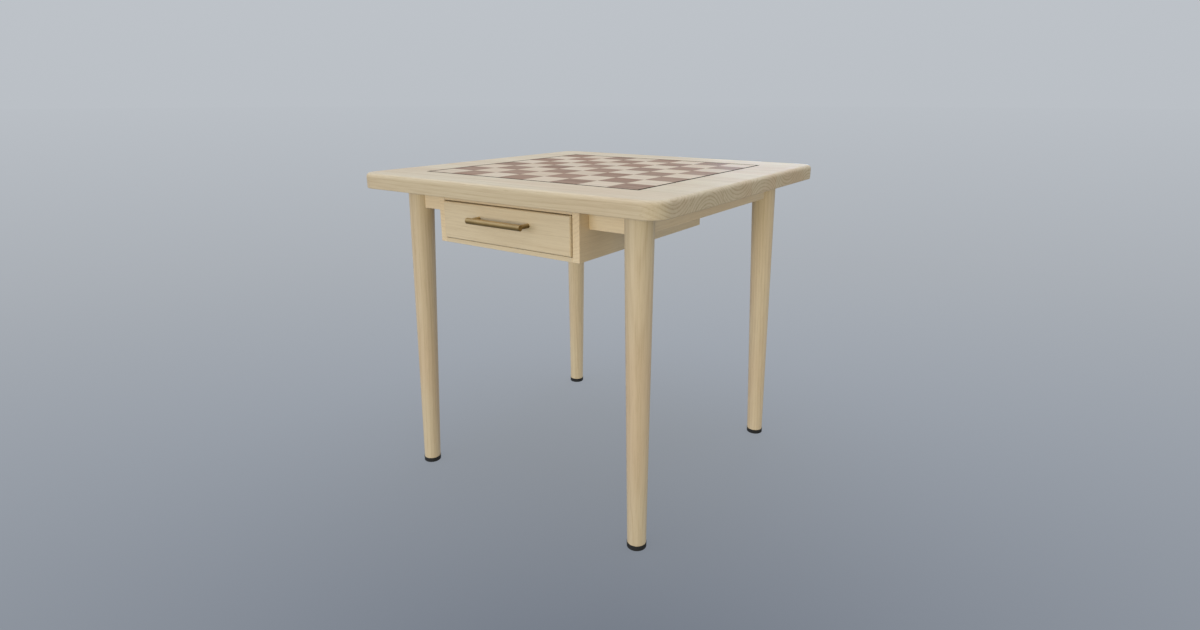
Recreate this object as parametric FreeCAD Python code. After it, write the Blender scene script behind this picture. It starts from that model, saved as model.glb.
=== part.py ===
import FreeCAD, Part
import math
import os

from FreeCAD import Placement, Rotation, Vector

# A square chess table. The board is inlaid flush in a solid wood top, four splayed round
# legs carry it, and one drawer runs in a housing that hangs under the front edge.
# Millimetres. +Z is up, the floor is z = 0, the drawer opens towards -Y, and the origin
# is on the floor under the middle of the table. Left and right are as seen from the front.

os.makedirs("parts", exist_ok=True)

# Tabletop
TABLE_HEIGHT = 708.0
TOP_SIDE = 750.0
TOP_THICKNESS = 32.0
TOP_CORNER_RADIUS = 39.0
TOP_EDGE_ROUND = 8.5
UNDER_EDGE_ROUND = 1.5

# Inlaid board
SQUARES_PER_SIDE = 8
SQUARE_SIDE = 67.0
BORDER_WIDTH = 6.0
INLAY_THICKNESS = 4.0
BACKING_THICKNESS = 3.0

# Legs and their glides
LEG_INSET = 91.5
LEG_TOP_RADIUS = 27.5
LEG_FOOT_RADIUS = 19.0
LEG_SPLAY_DEG = 1.5
LEG_FLAT_DEPTH = 3.0
GLIDE_HEIGHT = 11.0
GLIDE_PROUD = 0.8
GLIDE_EDGE_ROUND = 1.5
GLIDE_STEM_RADIUS = 4.0
GLIDE_STEM_LENGTH = 18.0

# Aprons
APRON_HEIGHT = 44.0
APRON_THICKNESS = 24.0

# Corner blocks, hanger bolts, washers and nuts
BLOCK_HEIGHT = 40.0
BLOCK_THICKNESS = 22.0
BLOCK_SCREW_OFFSET = 13.0
BOLT_RADIUS = 4.0
BOLT_IN_LEG = 20.0
BOLT_TAIL = 3.0
WASHER_RADIUS = 9.0
WASHER_THICKNESS = 1.6
NUT_SIDES = 6
NUT_ACROSS_FLATS = 13.0
NUT_THICKNESS = 6.5

# Wooden buttons that hold the top down to the aprons
BUTTON_WIDTH = 36.0
BUTTON_REACH = 26.0
BUTTON_THICKNESS = 17.0
BUTTON_TONGUE = 8.0
BUTTON_TONGUE_THICKNESS = 6.0
BUTTON_TOP_GAP = 0.8
BUTTON_SPREAD = 120.0

# Drawer housing
HOUSING_WIDTH = 364.0
HOUSING_HEIGHT = 103.0
HOUSING_DEPTH = 480.0
HOUSING_INSET = 50.0
HOUSING_SIDE_THICKNESS = 16.0
HOUSING_BOTTOM_THICKNESS = 9.0
HOUSING_BACK_THICKNESS = 12.0
RAIL_THICKNESS = 15.0
RAIL_DEPTH = 60.0
RAIL_SCREW_SPREAD = 120.0
DOWEL_RADIUS = 3.0
DOWEL_IN_SIDE = 10.0
DOWEL_IN_BOARD = 14.0
DOWEL_END_MARGIN = 16.0
DOWELS_PER_BOTTOM_EDGE = 4
STUB_SCREW_SPACING = 12.0

# Runners
RUNNER_HEIGHT = 14.0
RUNNER_PROUD = 7.0
RUNNER_FRONT_SETBACK = 35.0
RUNNER_BACK_SETBACK = 13.0
SCREWS_PER_RUNNER = 3
RUNNER_SCREW_MARGIN = 30.0

# Drawer
DRAWER_TRAVEL = 300.0
FRONT_THICKNESS = 18.0
FRONT_PROUD = 5.0
FRONT_EDGE_ROUND = 3.0
REVEAL = 1.5
DRAWER_WALL = 12.0
DRAWER_REBATE = 4.0
DRAWER_SIDE_GAP = 2.0
DRAWER_UNDER_GAP = 2.5
DRAWER_OVER_GAP = 9.0
DRAWER_BACK_GAP = 5.0
DRAWER_BOTTOM_THICKNESS = 5.0
DRAWER_BOTTOM_RAISE = 8.0
DRAWER_BOTTOM_TONGUE = 4.5
FRONT_SCREW_SPREAD = 110.0
FRONT_SCREW_MARGIN = 10.0
STOP_PIN_RADIUS = 3.0
STOP_PIN_HEAD_RADIUS = 6.0
STOP_PIN_HEAD_THICKNESS = 2.5
STOP_PIN_RISE = 8.0
STOP_PIN_SPREAD = 60.0

# Bar handle
HANDLE_CENTRES = 128.0
HANDLE_LENGTH = 140.0
HANDLE_BAR_RADIUS = 6.0
HANDLE_POST_RADIUS = 4.5
HANDLE_STANDOFF = 27.5
HANDLE_ABOVE_MIDDLE = 10.0
HANDLE_END_ROUND = 1.0
HANDLE_SCREW_RADIUS = 2.0
HANDLE_SCREW_HEAD_RADIUS = 4.0
HANDLE_SCREW_HEAD_HEIGHT = 2.5
HANDLE_SCREW_BITE = 12.0

# Countersunk wood screws: one shank and head throughout, and how deep each kind bites
SCREW_RADIUS = 2.0
SCREW_HEAD_RADIUS = 4.0
BITE_IN_TOP = 15.0
BITE_IN_SIDE = 8.0
BITE_IN_STUB = 25.0
BITE_IN_FRONT = 12.0

# The cross in every screw's head that a driver turns
DRIVE_SPAN = 4.0
DRIVE_WIDTH = 0.9
DRIVE_DEPTH = 1.2

# Fits
EASE = 1.0              # rounding of the boards' edges
FASTENER_GAP = 0.05     # radial gap round dowels, screws, bolts and pins
COPE_GAP = 0.15         # gap between a leg and an apron's hollowed end
SEAT_GAP = 0.3          # a running piece and the face that carries or stops it
GROOVE_SLACK = 0.7      # room under a runner in the drawer side's groove
GROOVE_DEPTH_GAP = 0.5  # room beside a runner in the drawer side's groove
PANEL_GAP = 0.2         # room over and under the drawer bottom in its grooves
PANEL_EDGE_GAP = 0.5    # room at the drawer bottom's edges in its grooves
SLOT_GAP = 0.5          # room below a button's tongue in its slot
SLOT_END_GAP = 2.0      # room at each end of a button's slot
CUT_PAST = 1.0          # how far a cutting shape runs past the face that it opens

# Heights and places that several pieces share
UNDERSIDE = TABLE_HEIGHT - TOP_THICKNESS
TOP_HALF = TOP_SIDE / 2
GRID_HALF = SQUARES_PER_SIDE * SQUARE_SIDE / 2
BOARD_HALF = GRID_HALF + BORDER_WIDTH
INLAY_BOTTOM = TABLE_HEIGHT - INLAY_THICKNESS
RECESS_FLOOR = INLAY_BOTTOM - BACKING_THICKNESS

LEG_LINE = TOP_HALF - LEG_INSET
SPLAY_SLOPE = math.tan(math.radians(LEG_SPLAY_DEG))
LEG_FLAT = LEG_TOP_RADIUS - LEG_FLAT_DEPTH

APRON_BOTTOM = UNDERSIDE - APRON_HEIGHT
APRON_LINE = LEG_LINE + SPLAY_SLOPE * APRON_HEIGHT / 2
APRON_OUTER = APRON_LINE + APRON_THICKNESS / 2
APRON_INNER = APRON_LINE - APRON_THICKNESS / 2

BLOCK_BOTTOM = UNDERSIDE - BLOCK_HEIGHT
BOLT_HEIGHT = UNDERSIDE - BLOCK_HEIGHT / 2
BLOCK_INNER = LEG_FLAT + BLOCK_THICKNESS

BUTTON_TOP = UNDERSIDE - BUTTON_TOP_GAP
BUTTON_BOTTOM = BUTTON_TOP - BUTTON_THICKNESS

HOUSING_HALF = HOUSING_WIDTH / 2
HOUSING_FRONT = -TOP_HALF + HOUSING_INSET
HOUSING_BACK = HOUSING_FRONT + HOUSING_DEPTH
HOUSING_UNDER = UNDERSIDE - HOUSING_HEIGHT
BAY_HALF = HOUSING_HALF - HOUSING_SIDE_THICKNESS
BAY_FLOOR = HOUSING_UNDER + HOUSING_BOTTOM_THICKNESS
BAY_ROOF = UNDERSIDE - RAIL_THICKNESS
BAY_BACK = HOUSING_BACK - HOUSING_BACK_THICKNESS

FRONT_FACE = HOUSING_FRONT - FRONT_PROUD
FRONT_REAR = FRONT_FACE + FRONT_THICKNESS
BOX_HALF = BAY_HALF - DRAWER_SIDE_GAP
BOX_INNER = BOX_HALF - DRAWER_WALL
BOX_BOTTOM = BAY_FLOOR + DRAWER_UNDER_GAP
BOX_TOP = BAY_ROOF - DRAWER_OVER_GAP
BOX_REAR = BAY_BACK - DRAWER_BACK_GAP
TRAY_FRONT = FRONT_REAR + DRAWER_WALL
TRAY_REAR = BOX_REAR - DRAWER_WALL
TRAY_PANEL = BOX_BOTTOM + DRAWER_BOTTOM_RAISE
TRAY_FLOOR = TRAY_PANEL + DRAWER_BOTTOM_THICKNESS

RUNNER_MIDDLE = (BOX_BOTTOM + BOX_TOP) / 2
RUNNER_TOP = RUNNER_MIDDLE + RUNNER_HEIGHT / 2
RUNNER_UNDER = RUNNER_MIDDLE - RUNNER_HEIGHT / 2
RUNNER_FACE = BAY_HALF - RUNNER_PROUD
RUNNER_FRONT = HOUSING_FRONT + RUNNER_FRONT_SETBACK
RUNNER_BACK = BAY_BACK - RUNNER_BACK_SETBACK

STOP_PIN_LINE = TRAY_REAR - DRAWER_TRAVEL - SEAT_GAP - STOP_PIN_RADIUS
HANDLE_HEIGHT = (BAY_FLOOR + BAY_ROOF) / 2 + HANDLE_ABOVE_MIDDLE
HANDLE_AXIS = FRONT_FACE - HANDLE_STANDOFF

UP = Vector(0, 0, 1)
ALONG_X = Vector(1, 0, 0)
FORWARDS = Vector(0, -1, 0)
CORNERS = {
    "front_left": (-1, -1),
    "front_right": (1, -1),
    "back_left": (-1, 1),
    "back_right": (1, 1),
}
SIDES = {"left": -1, "right": 1}


# Basic solids

def block(x, y, z):
    """A square-edged box from three (low, high) pairs."""
    size = (x[1] - x[0], y[1] - y[0], z[1] - z[0])
    return Part.makeBox(*size, Vector(x[0], y[0], z[0]))


def board(x, y, z, rounding=EASE):
    """A board with all its edges rounded."""
    solid = block(x, y, z)
    return solid.makeFillet(rounding, solid.Edges)


def wall_board(x, y, z):
    """A drawer wall, square but for its two long top edges."""
    solid = block(x, y, z)
    top = edges_at_height(solid, z[1])
    longest = max(edge.Length for edge in top)
    rims = [edge for edge in top if edge.Length > longest - EASE]
    return solid.makeFillet(EASE, rims)


def across(side, inner, outer):
    """The (low, high) pair of x between two distances from the middle, on one side."""
    return tuple(sorted((side * inner, side * outer)))


def prism(points, z):
    """A plan outline, extruded between two heights."""
    outline = [Vector(x, y, z[0]) for x, y in points]
    face = Part.Face(Part.makePolygon(outline + outline[:1]))
    return face.extrude(UP * (z[1] - z[0]))


def turned(profile, start, direction):
    """A turned solid: (radius, distance) points about a line from start."""
    outline = [Vector(radius, 0, distance) for radius, distance in profile]
    face = Part.Face(Part.makePolygon(outline + outline[:1]))
    solid = face.revolve(Vector(0, 0, 0), UP, 360)
    solid.Placement = Placement(start, Rotation(UP, direction))
    return solid


def cut_all(solid, cutters):
    """The solid with every cutter taken away."""
    return solid.cut(list(cutters)) if cutters else solid


def save(name, *solids):
    """One STEP file for a node, which holds one solid or a group of them."""
    shape = solids[0] if len(solids) == 1 else Part.makeCompound(list(solids))
    shape.exportStep("parts/" + name + ".step")


# Fasteners, and the holes that hold them. A place is (point, direction into the wood).

def screw(place, length):
    """A countersunk screw, its head flush at the place's point."""
    head_depth = SCREW_HEAD_RADIUS - SCREW_RADIUS
    tip = 2 * SCREW_RADIUS
    profile = [
        (0, 0),
        (SCREW_HEAD_RADIUS, 0),
        (SCREW_RADIUS, head_depth),
        (SCREW_RADIUS, length - tip),
        (0, length),
    ]
    return turned(profile, *place).cut(drive_recess(place))


def drive_recess(place):
    """The cross that is cut into a screw's head at the place's point."""
    half = DRIVE_SPAN / 2
    narrow = DRIVE_WIDTH / 2
    depth = (-CUT_PAST, DRIVE_DEPTH)
    cross = block((-half, half), (-narrow, narrow), depth)
    cross = cross.fuse(block((-narrow, narrow), (-half, half), depth))
    start, direction = place
    cross.Placement = Placement(start, Rotation(UP, direction))
    return cross


def screw_hole(place, length):
    """The countersunk hole for a screw, a little wider and open at its head."""
    head_depth = SCREW_HEAD_RADIUS - SCREW_RADIUS
    tip = 2 * SCREW_RADIUS
    profile = [
        (0, -CUT_PAST),
        (SCREW_HEAD_RADIUS + FASTENER_GAP, -CUT_PAST),
        (SCREW_HEAD_RADIUS + FASTENER_GAP, 0),
        (SCREW_RADIUS + FASTENER_GAP, head_depth),
        (SCREW_RADIUS + FASTENER_GAP, length - tip),
        (0, length + FASTENER_GAP),
    ]
    return turned(profile, *place)


def rod(place, length, radius):
    """A plain round rod from the place's point."""
    start, direction = place
    return Part.makeCylinder(radius, length, start, direction)


def rod_hole(place, length, radius):
    """The hole for a plain rod, a little wider and longer."""
    start, direction = place
    start = start - direction * FASTENER_GAP
    return Part.makeCylinder(radius + FASTENER_GAP, length + 2 * FASTENER_GAP, start, direction)


# Top and inlaid board

def tabletop():
    span = (-TOP_HALF, TOP_HALF)
    slab = block(span, span, (UNDERSIDE, TABLE_HEIGHT))
    uprights = [edge for edge in slab.Edges if is_upright(edge)]
    slab = slab.makeFillet(TOP_CORNER_RADIUS, uprights)
    slab = slab.makeFillet(TOP_EDGE_ROUND, edges_at_height(slab, TABLE_HEIGHT))
    slab = slab.makeFillet(UNDER_EDGE_ROUND, edges_at_height(slab, UNDERSIDE))
    recess_span = (-BOARD_HALF, BOARD_HALF)
    recess = block(recess_span, recess_span, (RECESS_FLOOR, TABLE_HEIGHT + CUT_PAST))
    holes = [screw_hole(place, length) for place, length in screws_into_top()]
    return cut_all(slab, [recess] + holes)


def is_upright(edge):
    box = edge.BoundBox
    return box.XLength < EASE and box.YLength < EASE


def edges_at_height(solid, height):
    """The edges that lie flat at one height."""
    flat = [edge for edge in solid.Edges if edge.BoundBox.ZLength < EASE]
    return [edge for edge in flat if abs(edge.BoundBox.Center.z - height) < EASE]


def board_backing():
    span = (-BOARD_HALF, BOARD_HALF)
    return block(span, span, (RECESS_FLOOR, INLAY_BOTTOM))


def squares(parity):
    """One colour's squares. The front left corner square has parity 0."""
    tiles = []
    for column in range(SQUARES_PER_SIDE):
        for row in range(SQUARES_PER_SIDE):
            if (column + row) % 2 == parity:
                x = -GRID_HALF + column * SQUARE_SIDE
                y = -GRID_HALF + row * SQUARE_SIDE
                tile = block((x, x + SQUARE_SIDE), (y, y + SQUARE_SIDE), (INLAY_BOTTOM, TABLE_HEIGHT))
                tiles.append(tile)
    return tiles


def border_strip(turn_deg):
    """One mitred strip. The strip at 0 degrees lies along the front."""
    outline = [
        (-BOARD_HALF, -BOARD_HALF),
        (BOARD_HALF, -BOARD_HALF),
        (GRID_HALF, -GRID_HALF),
        (-GRID_HALF, -GRID_HALF),
    ]
    strip = prism(outline, (INLAY_BOTTOM, TABLE_HEIGHT))
    strip.rotate(Vector(0, 0, 0), UP, turn_deg)
    return strip


# Legs, glides, corner blocks and their bolts

def leg_point(corner, height):
    """The leg's axis at one height."""
    offset = LEG_LINE + SPLAY_SLOPE * (UNDERSIDE - height)
    return Vector(corner[0] * offset, corner[1] * offset, height)


def leg_radius(height):
    return LEG_FOOT_RADIUS + (LEG_TOP_RADIUS - LEG_FOOT_RADIUS) * height / UNDERSIDE


def leg_taper(corner, low, high, grow=0.0):
    """The leg's tapered, splayed form, cut level at two heights."""
    over = LEG_TOP_RADIUS
    start = leg_point(corner, low - over)
    end = leg_point(corner, high + over)
    axis = end - start
    foot = leg_radius(low - over) + grow
    head = leg_radius(high + over) + grow
    cone = Part.makeCone(foot, head, axis.Length, start, axis)
    around = (-TOP_SIDE, TOP_SIDE)
    return cone.common(block(around, around, (low, high)))


def corner_point(corner, inwards, sideways, height):
    """A point by its distances from the leg's top: towards the table's middle, and across."""
    root = math.sqrt(2)
    x = corner[0] * (LEG_LINE - (inwards + sideways) / root)
    y = corner[1] * (LEG_LINE - (inwards - sideways) / root)
    return Vector(x, y, height)


def corner_inwards(corner):
    """The level direction from a leg towards the table's middle."""
    return Vector(-corner[0], -corner[1], 0).normalize()


def glide_stem_place(corner):
    """The stem's line, which starts inside the foot."""
    start = leg_point(corner, GLIDE_HEIGHT / 2)
    axis = leg_point(corner, UNDERSIDE) - start
    return start, axis.normalize()


def glide_stem_full():
    """The stem's length with its root inside the foot."""
    return GLIDE_STEM_LENGTH + GLIDE_HEIGHT / 2


def hanger_bolt_place(corner):
    return corner_point(corner, LEG_FLAT - BOLT_IN_LEG, 0, BOLT_HEIGHT), corner_inwards(corner)


def bolt_length():
    return BOLT_IN_LEG + BLOCK_THICKNESS + WASHER_THICKNESS + NUT_THICKNESS + BOLT_TAIL


def leg(corner):
    post = leg_taper(corner, GLIDE_HEIGHT, UNDERSIDE)
    reach = LEG_TOP_RADIUS * 2
    outline = [
        corner_point(corner, LEG_FLAT, -reach, 0),
        corner_point(corner, LEG_FLAT, reach, 0),
        corner_point(corner, LEG_FLAT + reach, reach, 0),
        corner_point(corner, LEG_FLAT + reach, -reach, 0),
    ]
    seat = prism([(p.x, p.y) for p in outline], (BLOCK_BOTTOM, UNDERSIDE + CUT_PAST))
    bolt = rod_hole(hanger_bolt_place(corner), bolt_length(), BOLT_RADIUS)
    stem = rod_hole(glide_stem_place(corner), glide_stem_full(), GLIDE_STEM_RADIUS)
    return cut_all(post, [seat, bolt, stem])


def glide(corner):
    """A black foot, a little proud of the leg's taper, on a stem in the leg's end."""
    foot = leg_taper(corner, 0, GLIDE_HEIGHT, GLIDE_PROUD)
    foot = foot.makeFillet(GLIDE_EDGE_ROUND, edges_at_height(foot, 0))
    stem = rod(glide_stem_place(corner), glide_stem_full(), GLIDE_STEM_RADIUS)
    return foot.fuse(stem).removeSplitter()


def corner_block(corner):
    outer = 2 * LEG_LINE - LEG_FLAT * math.sqrt(2)
    inner = 2 * LEG_LINE - BLOCK_INNER * math.sqrt(2)
    plan = [
        (APRON_INNER, outer - APRON_INNER),
        (outer - APRON_INNER, APRON_INNER),
        (inner - APRON_INNER, APRON_INNER),
        (APRON_INNER, inner - APRON_INNER),
    ]
    plan = [(corner[0] * x, corner[1] * y) for x, y in plan]
    solid = prism(plan, (BLOCK_BOTTOM, UNDERSIDE))
    bolt = rod_hole(hanger_bolt_place(corner), bolt_length(), BOLT_RADIUS)
    screws = [screw_hole(place, length) for place, length in block_screws(corner)]
    return cut_all(solid, [bolt] + screws)


def hanger_bolt(corner):
    return rod(hanger_bolt_place(corner), bolt_length(), BOLT_RADIUS)


def washer(corner):
    start = corner_point(corner, BLOCK_INNER, 0, BOLT_HEIGHT)
    bore = BOLT_RADIUS + FASTENER_GAP
    profile = [(bore, 0), (WASHER_RADIUS, 0), (WASHER_RADIUS, WASHER_THICKNESS), (bore, WASHER_THICKNESS)]
    return turned(profile, start, corner_inwards(corner))


def nut(corner):
    start = corner_point(corner, BLOCK_INNER + WASHER_THICKNESS, 0, BOLT_HEIGHT)
    corner_radius = NUT_ACROSS_FLATS / 2 / math.cos(math.pi / NUT_SIDES)
    turns = [2 * math.pi * step / NUT_SIDES for step in range(NUT_SIDES)]
    plan = [(corner_radius * math.cos(turn), corner_radius * math.sin(turn)) for turn in turns]
    body = prism(plan, (0, NUT_THICKNESS))
    body = body.cut(rod_hole((Vector(0, 0, 0), UP), NUT_THICKNESS, BOLT_RADIUS))
    body.Placement = Placement(start, Rotation(UP, corner_inwards(corner)))
    return body


# Places of the screws

def block_screws(corner):
    """Two screws up through a corner block into the top, one each side of the bolt."""
    middle = (LEG_FLAT + BLOCK_INNER) / 2
    offsets = (-BLOCK_SCREW_OFFSET, BLOCK_SCREW_OFFSET)
    points = [corner_point(corner, middle, offset, BLOCK_BOTTOM) for offset in offsets]
    return [((point, UP), BLOCK_HEIGHT + BITE_IN_TOP) for point in points]


def button_screws():
    seats = [place.multVec(Vector(0, BUTTON_REACH / 2, BUTTON_BOTTOM)) for place in button_places()]
    return [((seat, UP), BUTTON_THICKNESS + BUTTON_TOP_GAP + BITE_IN_TOP) for seat in seats]


def rail_screws(rail):
    """Two screws up through a housing rail into the top."""
    middle = sum(rail_depth(rail)) / 2
    seats = [Vector(x, middle, BAY_ROOF) for x in (-RAIL_SCREW_SPREAD, RAIL_SCREW_SPREAD)]
    return [((seat, UP), RAIL_THICKNESS + BITE_IN_TOP) for seat in seats]


def screws_into_top():
    """Every screw that ends in the tabletop."""
    found = button_screws() + rail_screws("front") + rail_screws("back")
    for corner in CORNERS.values():
        found += block_screws(corner)
    return found


def stub_screws(side):
    """Two screws out through a housing side into the end of a front apron stub."""
    middle = (BAY_ROOF + APRON_BOTTOM) / 2
    heights = (middle - STUB_SCREW_SPACING / 2, middle + STUB_SCREW_SPACING / 2)
    seats = [Vector(side * BAY_HALF, -APRON_LINE, height) for height in heights]
    return [((seat, ALONG_X * side), HOUSING_SIDE_THICKNESS + BITE_IN_STUB) for seat in seats]


def runner_screws(side):
    places = spaced(RUNNER_FRONT + RUNNER_SCREW_MARGIN, RUNNER_BACK - RUNNER_SCREW_MARGIN, SCREWS_PER_RUNNER)
    seats = [Vector(side * RUNNER_FACE, y, RUNNER_MIDDLE) for y in places]
    return [((seat, ALONG_X * side), RUNNER_PROUD + BITE_IN_SIDE) for seat in seats]


def front_screws():
    """Four screws from inside the drawer into its front."""
    heights = (TRAY_FLOOR + FRONT_SCREW_MARGIN, BOX_TOP - FRONT_SCREW_MARGIN)
    spots = [(x, z) for x in (-FRONT_SCREW_SPREAD, FRONT_SCREW_SPREAD) for z in heights]
    seats = [Vector(x, TRAY_FRONT, z) for x, z in spots]
    return [((seat, FORWARDS), DRAWER_WALL + BITE_IN_FRONT) for seat in seats]


def spaced(low, high, count):
    """Evenly spaced values that include both ends."""
    return [low + (high - low) * step / (count - 1) for step in range(count)]


# Aprons and the buttons behind them

def apron_leg_cuts():
    """The legs' forms, a little fuller, which hollow the aprons' ends."""
    return [leg_taper(corner, 0, UNDERSIDE + CUT_PAST, COPE_GAP) for corner in CORNERS.values()]


def apron_left_or_right(side):
    rail = board(across(side, APRON_INNER, APRON_OUTER), (-LEG_LINE, LEG_LINE), (APRON_BOTTOM, UNDERSIDE))
    return cut_all(rail, apron_leg_cuts() + button_slots())


def apron_back():
    rail = board((-LEG_LINE, LEG_LINE), (APRON_INNER, APRON_OUTER), (APRON_BOTTOM, UNDERSIDE))
    return cut_all(rail, apron_leg_cuts() + button_slots())


def apron_front_stub(side):
    """A short front apron between the drawer housing and a leg."""
    x = across(side, HOUSING_HALF, LEG_LINE)
    rail = board(x, (-APRON_OUTER, -APRON_INNER), (APRON_BOTTOM, UNDERSIDE))
    screws = [screw_hole(place, length) for place, length in stub_screws(side)]
    return cut_all(rail, apron_leg_cuts() + screws)


def button_places():
    """A placement for each button: local +Y runs inwards from an apron's inner face."""
    places = []
    for turn_deg in (90, 180, 270):
        turn = Rotation(UP, turn_deg)
        for slide in (-BUTTON_SPREAD, BUTTON_SPREAD):
            places.append(Placement(turn.multVec(Vector(slide, -APRON_INNER, 0)), turn))
    return places


def button(place, screw_place, screw_length):
    half = BUTTON_WIDTH / 2
    body = block((-half, half), (0, BUTTON_REACH), (BUTTON_BOTTOM, BUTTON_TOP))
    tongue_top = BUTTON_BOTTOM + BUTTON_TONGUE_THICKNESS
    tongue = block((-half, half), (-BUTTON_TONGUE, BUTTON_REACH / 2), (BUTTON_BOTTOM, tongue_top))
    solid = body.fuse(tongue).removeSplitter()
    solid.Placement = place
    return solid.cut(screw_hole(screw_place, screw_length))


def button_slots():
    """The slots in the aprons that the buttons' tongues reach into."""
    half = BUTTON_WIDTH / 2 + SLOT_END_GAP
    depth = (-BUTTON_TONGUE - SLOT_GAP, CUT_PAST)
    height = (BUTTON_BOTTOM - SLOT_GAP, BUTTON_BOTTOM + BUTTON_TONGUE_THICKNESS)
    slots = []
    for place in button_places():
        slot = block((-half, half), depth, height)
        slot.Placement = place
        slots.append(slot)
    return slots


# Drawer housing

def rail_depth(rail):
    """The (front, back) pair of y of a housing rail."""
    if rail == "front":
        return HOUSING_FRONT, HOUSING_FRONT + RAIL_DEPTH
    return BAY_BACK - RAIL_DEPTH, BAY_BACK


def dowel_places(side):
    """Every dowel that joins a housing side to the boards between the sides."""
    bottom_middle = HOUSING_UNDER + HOUSING_BOTTOM_THICKNESS / 2
    rail_middle = UNDERSIDE - RAIL_THICKNESS / 2
    back_middle = HOUSING_BACK - HOUSING_BACK_THICKNESS / 2
    ends = (HOUSING_FRONT + DOWEL_END_MARGIN, HOUSING_BACK - DOWEL_END_MARGIN)
    spots = [(y, bottom_middle) for y in spaced(*ends, DOWELS_PER_BOTTOM_EDGE)]
    for rail in ("front", "back"):
        low, high = rail_depth(rail)
        spots += [(y, rail_middle) for y in (low + DOWEL_END_MARGIN, high - DOWEL_END_MARGIN)]
    heights = (BAY_FLOOR + DOWEL_END_MARGIN, UNDERSIDE - DOWEL_END_MARGIN)
    spots += [(back_middle, z) for z in heights]
    start = side * (BAY_HALF - DOWEL_IN_BOARD)
    return [(Vector(start, y, z), ALONG_X * side) for y, z in spots]


def dowel_holes(side):
    return [rod_hole(place, DOWEL_IN_BOARD + DOWEL_IN_SIDE, DOWEL_RADIUS) for place in dowel_places(side)]


def both_sides(make):
    """What a function makes for the left side and then for the right."""
    return make(SIDES["left"]) + make(SIDES["right"])


def housing_side(side):
    x = across(side, BAY_HALF, HOUSING_HALF)
    panel = board(x, (HOUSING_FRONT, HOUSING_BACK), (HOUSING_UNDER, UNDERSIDE))
    places = runner_screws(side) + stub_screws(side)
    screws = [screw_hole(place, length) for place, length in places]
    return cut_all(panel, dowel_holes(side) + screws)


def housing_bottom():
    span = (-BAY_HALF, BAY_HALF)
    panel = board(span, (HOUSING_FRONT, HOUSING_BACK), (HOUSING_UNDER, BAY_FLOOR))
    return cut_all(panel, both_sides(dowel_holes) + [stop_pin(x, FASTENER_GAP) for x in stop_pin_spots()])


def housing_back():
    span = (-BAY_HALF, BAY_HALF)
    panel = board(span, (BAY_BACK, HOUSING_BACK), (BAY_FLOOR, UNDERSIDE))
    return cut_all(panel, both_sides(dowel_holes))


def housing_rail(rail):
    strip = board((-BAY_HALF, BAY_HALF), rail_depth(rail), (BAY_ROOF, UNDERSIDE))
    screws = [screw_hole(place, length) for place, length in rail_screws(rail)]
    return cut_all(strip, both_sides(dowel_holes) + screws)


def dowels(side):
    length = DOWEL_IN_BOARD + DOWEL_IN_SIDE
    return [rod(place, length, DOWEL_RADIUS) for place in dowel_places(side)]


def runner(side):
    """A strip on the housing side that the drawer side's groove hangs on."""
    x = across(side, RUNNER_FACE, BAY_HALF)
    strip = block(x, (RUNNER_FRONT, RUNNER_BACK), (RUNNER_UNDER, RUNNER_TOP))
    return cut_all(strip, [screw_hole(place, length) for place, length in runner_screws(side)])


def stop_pin_spots():
    return (-STOP_PIN_SPREAD, STOP_PIN_SPREAD)


def stop_pin(x, grow=0.0):
    """A pin up through the housing bottom, which the open drawer's back meets."""
    head = STOP_PIN_HEAD_RADIUS + grow
    shank = STOP_PIN_RADIUS + grow
    shoulder = STOP_PIN_HEAD_THICKNESS + grow
    top = HOUSING_BOTTOM_THICKNESS + STOP_PIN_RISE
    profile = [(0, 0), (head, 0), (head, shoulder), (shank, shoulder), (shank, top), (0, top)]
    return turned(profile, Vector(x, STOP_PIN_LINE, HOUSING_UNDER), UP)


# Drawer

def drawer_front():
    """The face slab, proud of the housing, with its front edges rounded."""
    half = BAY_HALF - REVEAL
    slab = block((-half, half), (FRONT_FACE, FRONT_REAR), (BAY_FLOOR + REVEAL, BAY_ROOF - REVEAL))
    rim = [edge for edge in slab.Edges if edge.BoundBox.YMax < FRONT_FACE + EASE]
    slab = slab.makeFillet(FRONT_EDGE_ROUND, rim)
    screws = [screw_hole(place, length) for place, length in front_screws()]
    return cut_all(slab, screws + handle_screw_holes())


def drawer_box_front():
    half = BOX_INNER + DRAWER_REBATE
    wall = wall_board((-half, half), (FRONT_REAR, TRAY_FRONT), (BOX_BOTTOM, BOX_TOP))
    screws = [screw_hole(place, length) for place, length in front_screws()]
    return cut_all(wall, [bottom_groove()] + screws + handle_screw_holes())


def drawer_back():
    half = BOX_INNER + DRAWER_REBATE
    wall = wall_board((-half, half), (TRAY_REAR, BOX_REAR), (BOX_BOTTOM, BOX_TOP))
    return wall.cut(bottom_groove())


def drawer_side(side):
    """A side wall: rebated at its ends, grooved inside for the bottom and outside for the runner."""
    x = across(side, BOX_INNER, BOX_HALF)
    wall = wall_board(x, (FRONT_REAR, BOX_REAR), (BOX_BOTTOM, BOX_TOP))
    rebate_x = across(side, BOX_INNER - CUT_PAST, BOX_INNER + DRAWER_REBATE)
    past = (BOX_BOTTOM - CUT_PAST, BOX_TOP + CUT_PAST)
    front_rebate = block(rebate_x, (FRONT_REAR - CUT_PAST, TRAY_FRONT), past)
    back_rebate = block(rebate_x, (TRAY_REAR, BOX_REAR + CUT_PAST), past)
    groove_x = across(side, RUNNER_FACE - GROOVE_DEPTH_GAP, BOX_HALF + CUT_PAST)
    groove_y = (RUNNER_FRONT - SEAT_GAP, BOX_REAR + CUT_PAST)
    groove = block(groove_x, groove_y, (RUNNER_UNDER - GROOVE_SLACK, RUNNER_TOP + SEAT_GAP))
    return cut_all(wall, [front_rebate, back_rebate, groove, bottom_groove()])


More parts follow.
